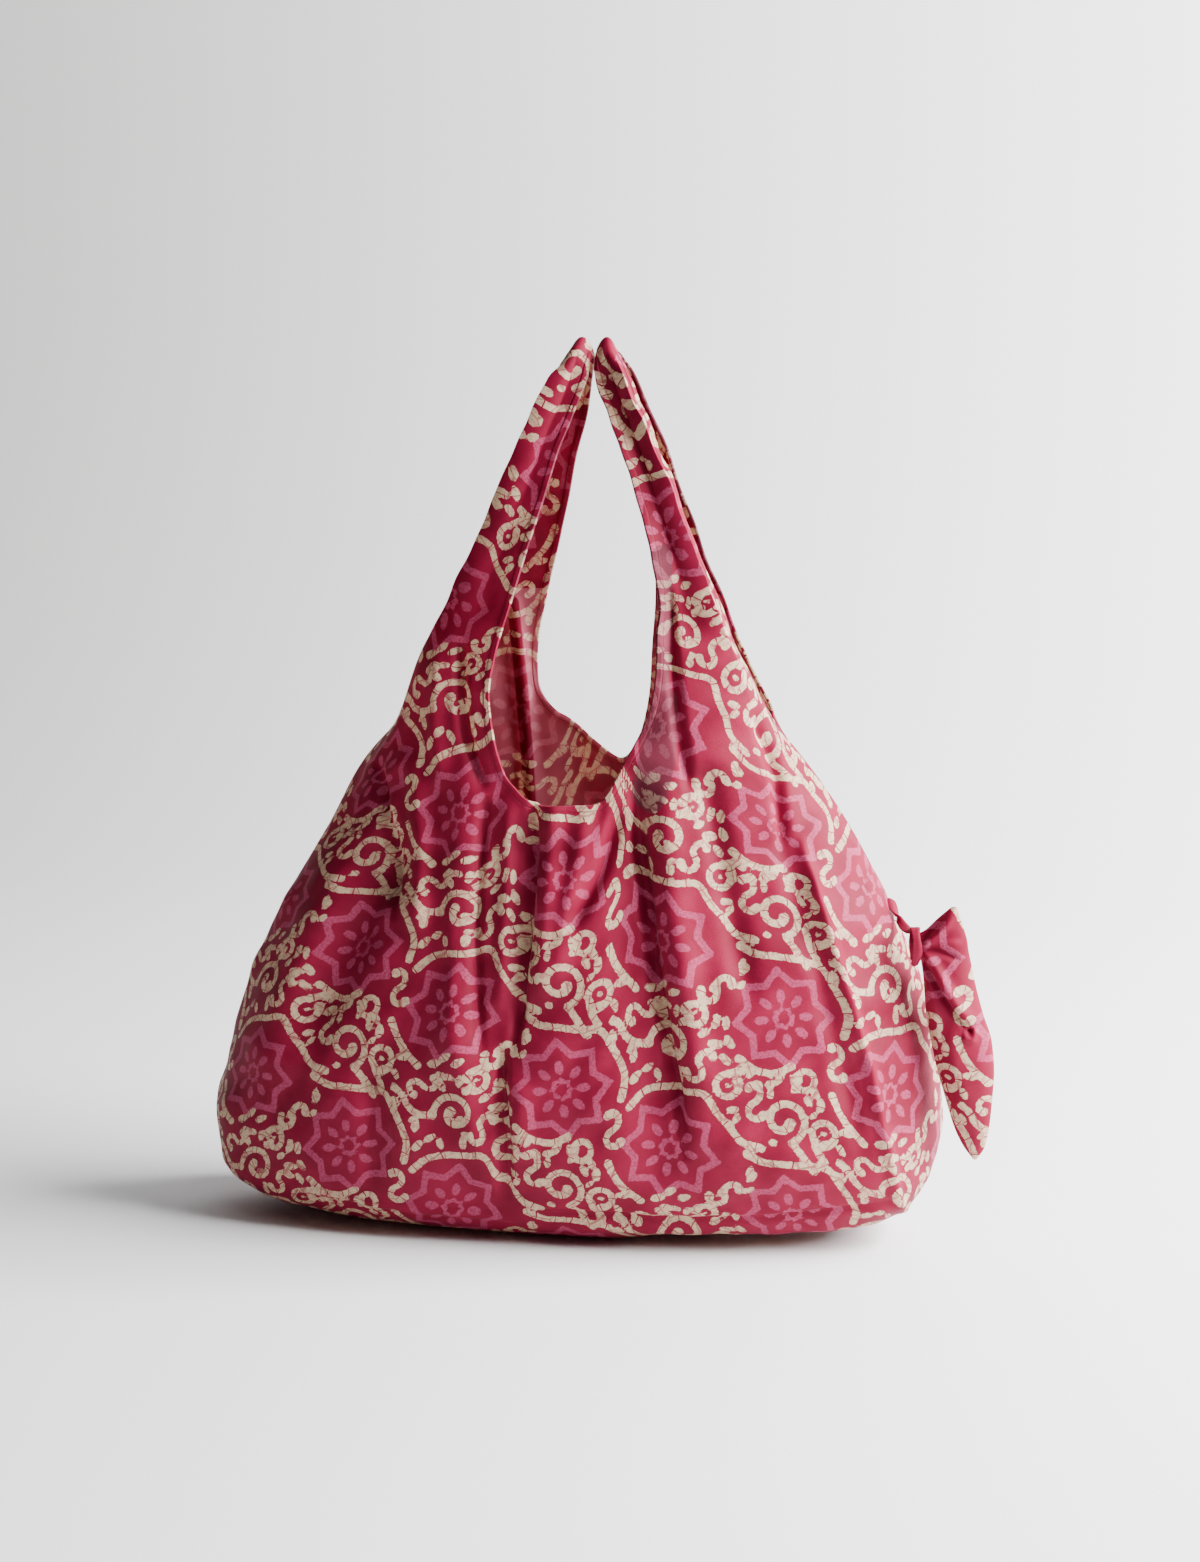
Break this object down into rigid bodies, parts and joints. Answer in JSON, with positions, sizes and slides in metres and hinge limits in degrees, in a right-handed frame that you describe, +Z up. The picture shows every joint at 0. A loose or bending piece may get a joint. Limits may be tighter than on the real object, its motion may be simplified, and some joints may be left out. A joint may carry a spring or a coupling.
{
  "type": "reusable shopping bag",
  "caption": "Soft crimson cloth shopping bag with a batik-style star and vine print, tall handle loops and a small pouch at its side, standing open.",
  "frame": {"origin": "on the flat underside of the base, midway along the bag", "axes": "+X along the bag's width, towards the side with the pouch; +Y from the front panel to the back panel; +Z up to the handle loops"},
  "size_m": [0.5919, 0.2234, 0.657],
  "materials": {
    "printed_cloth": "satin, printed"
  },
  "bodies": {
    "root": {"front_panel": "printed_cloth", "back_panel": "printed_cloth", "pouch": "printed_cloth", "pouch_tie": "printed_cloth"}
  },
  "joints": []
}
